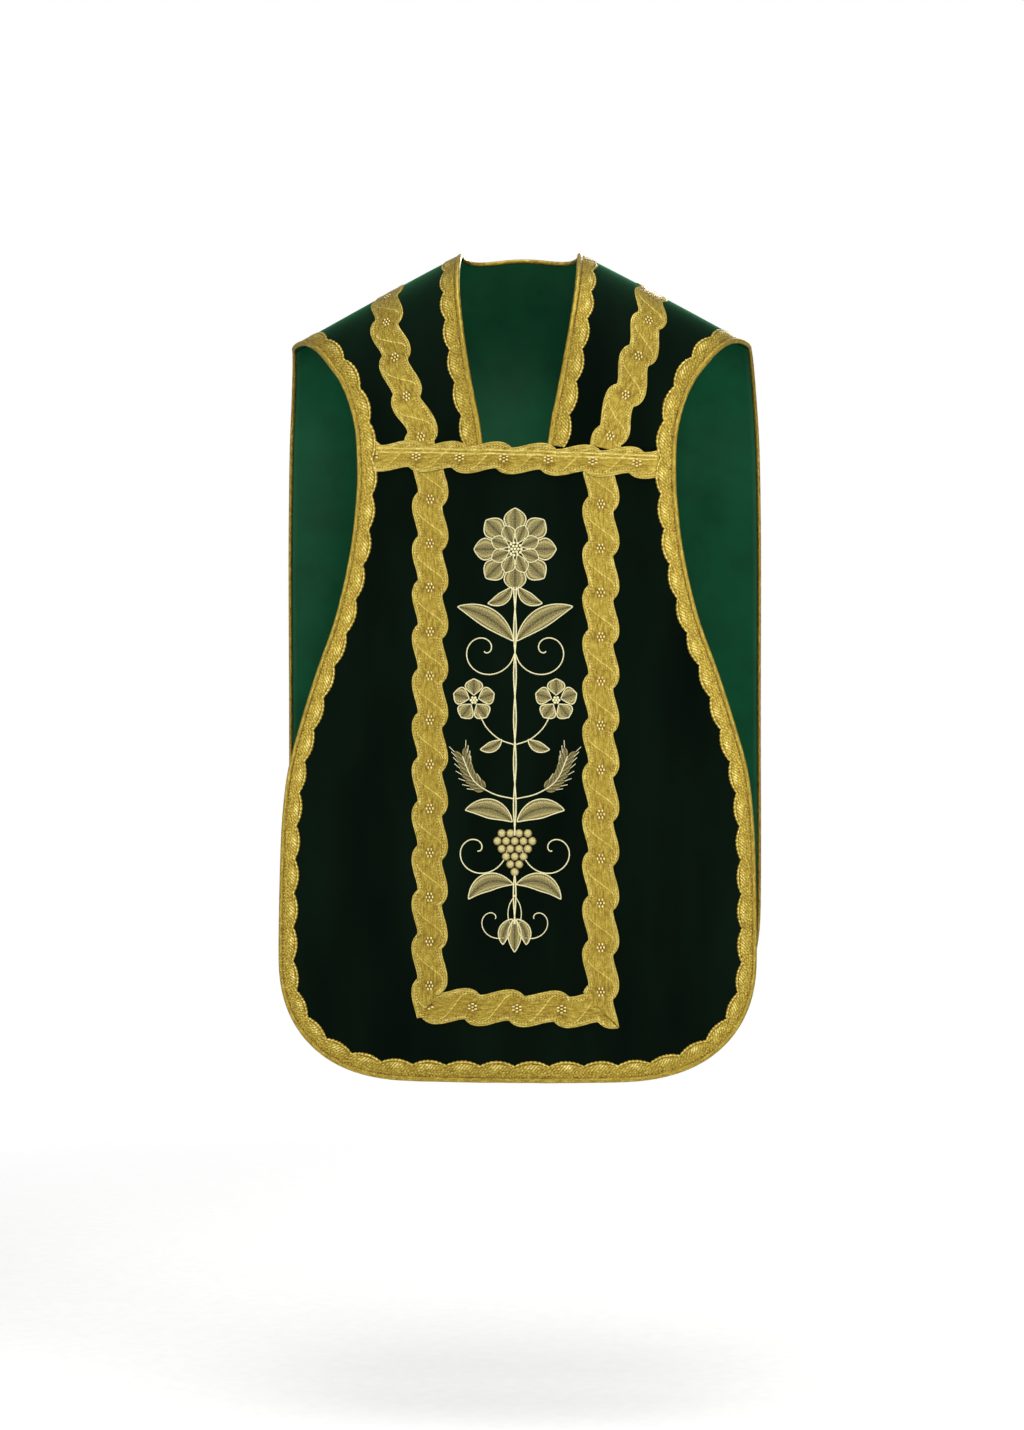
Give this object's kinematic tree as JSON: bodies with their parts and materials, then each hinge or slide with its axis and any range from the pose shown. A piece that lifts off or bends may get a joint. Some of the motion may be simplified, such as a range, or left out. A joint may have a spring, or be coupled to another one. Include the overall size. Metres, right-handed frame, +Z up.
{
  "type": "roman chasuble",
  "caption": "Sleeveless fiddleback vestment of dark green velvet with scalloped gold galloon, in its worn hollow form, open at neck, sides and hem.",
  "frame": {"origin": "midway between the two neck points, on the crest of the shoulders, where the wearer's shoulders carry it", "axes": "+Z up, +X to the wearer's left, the embroidered front faces -Y"},
  "size_m": [0.609, 0.2998, 1.0285],
  "materials": {
    "velvet": "matte pile",
    "lining": "satin",
    "galloon": "metallic thread"
  },
  "bodies": {
    "root": {"front_panel": "velvet", "yoke_left": "velvet", "yoke_right": "velvet", "back_panel": "velvet", "back_lining": "lining", "front_edge_galloon": "galloon", "back_edge_galloon": "galloon", "neck_galloon": "galloon", "crossbar_galloon": "galloon", "shoulder_band_left": "galloon", "shoulder_band_right": "galloon", "front_column_right": "galloon", "front_column_left": "galloon", "front_column_foot": "galloon", "back_column_right": "galloon", "back_column_left": "galloon", "back_column_foot": "galloon"}
  },
  "joints": []
}
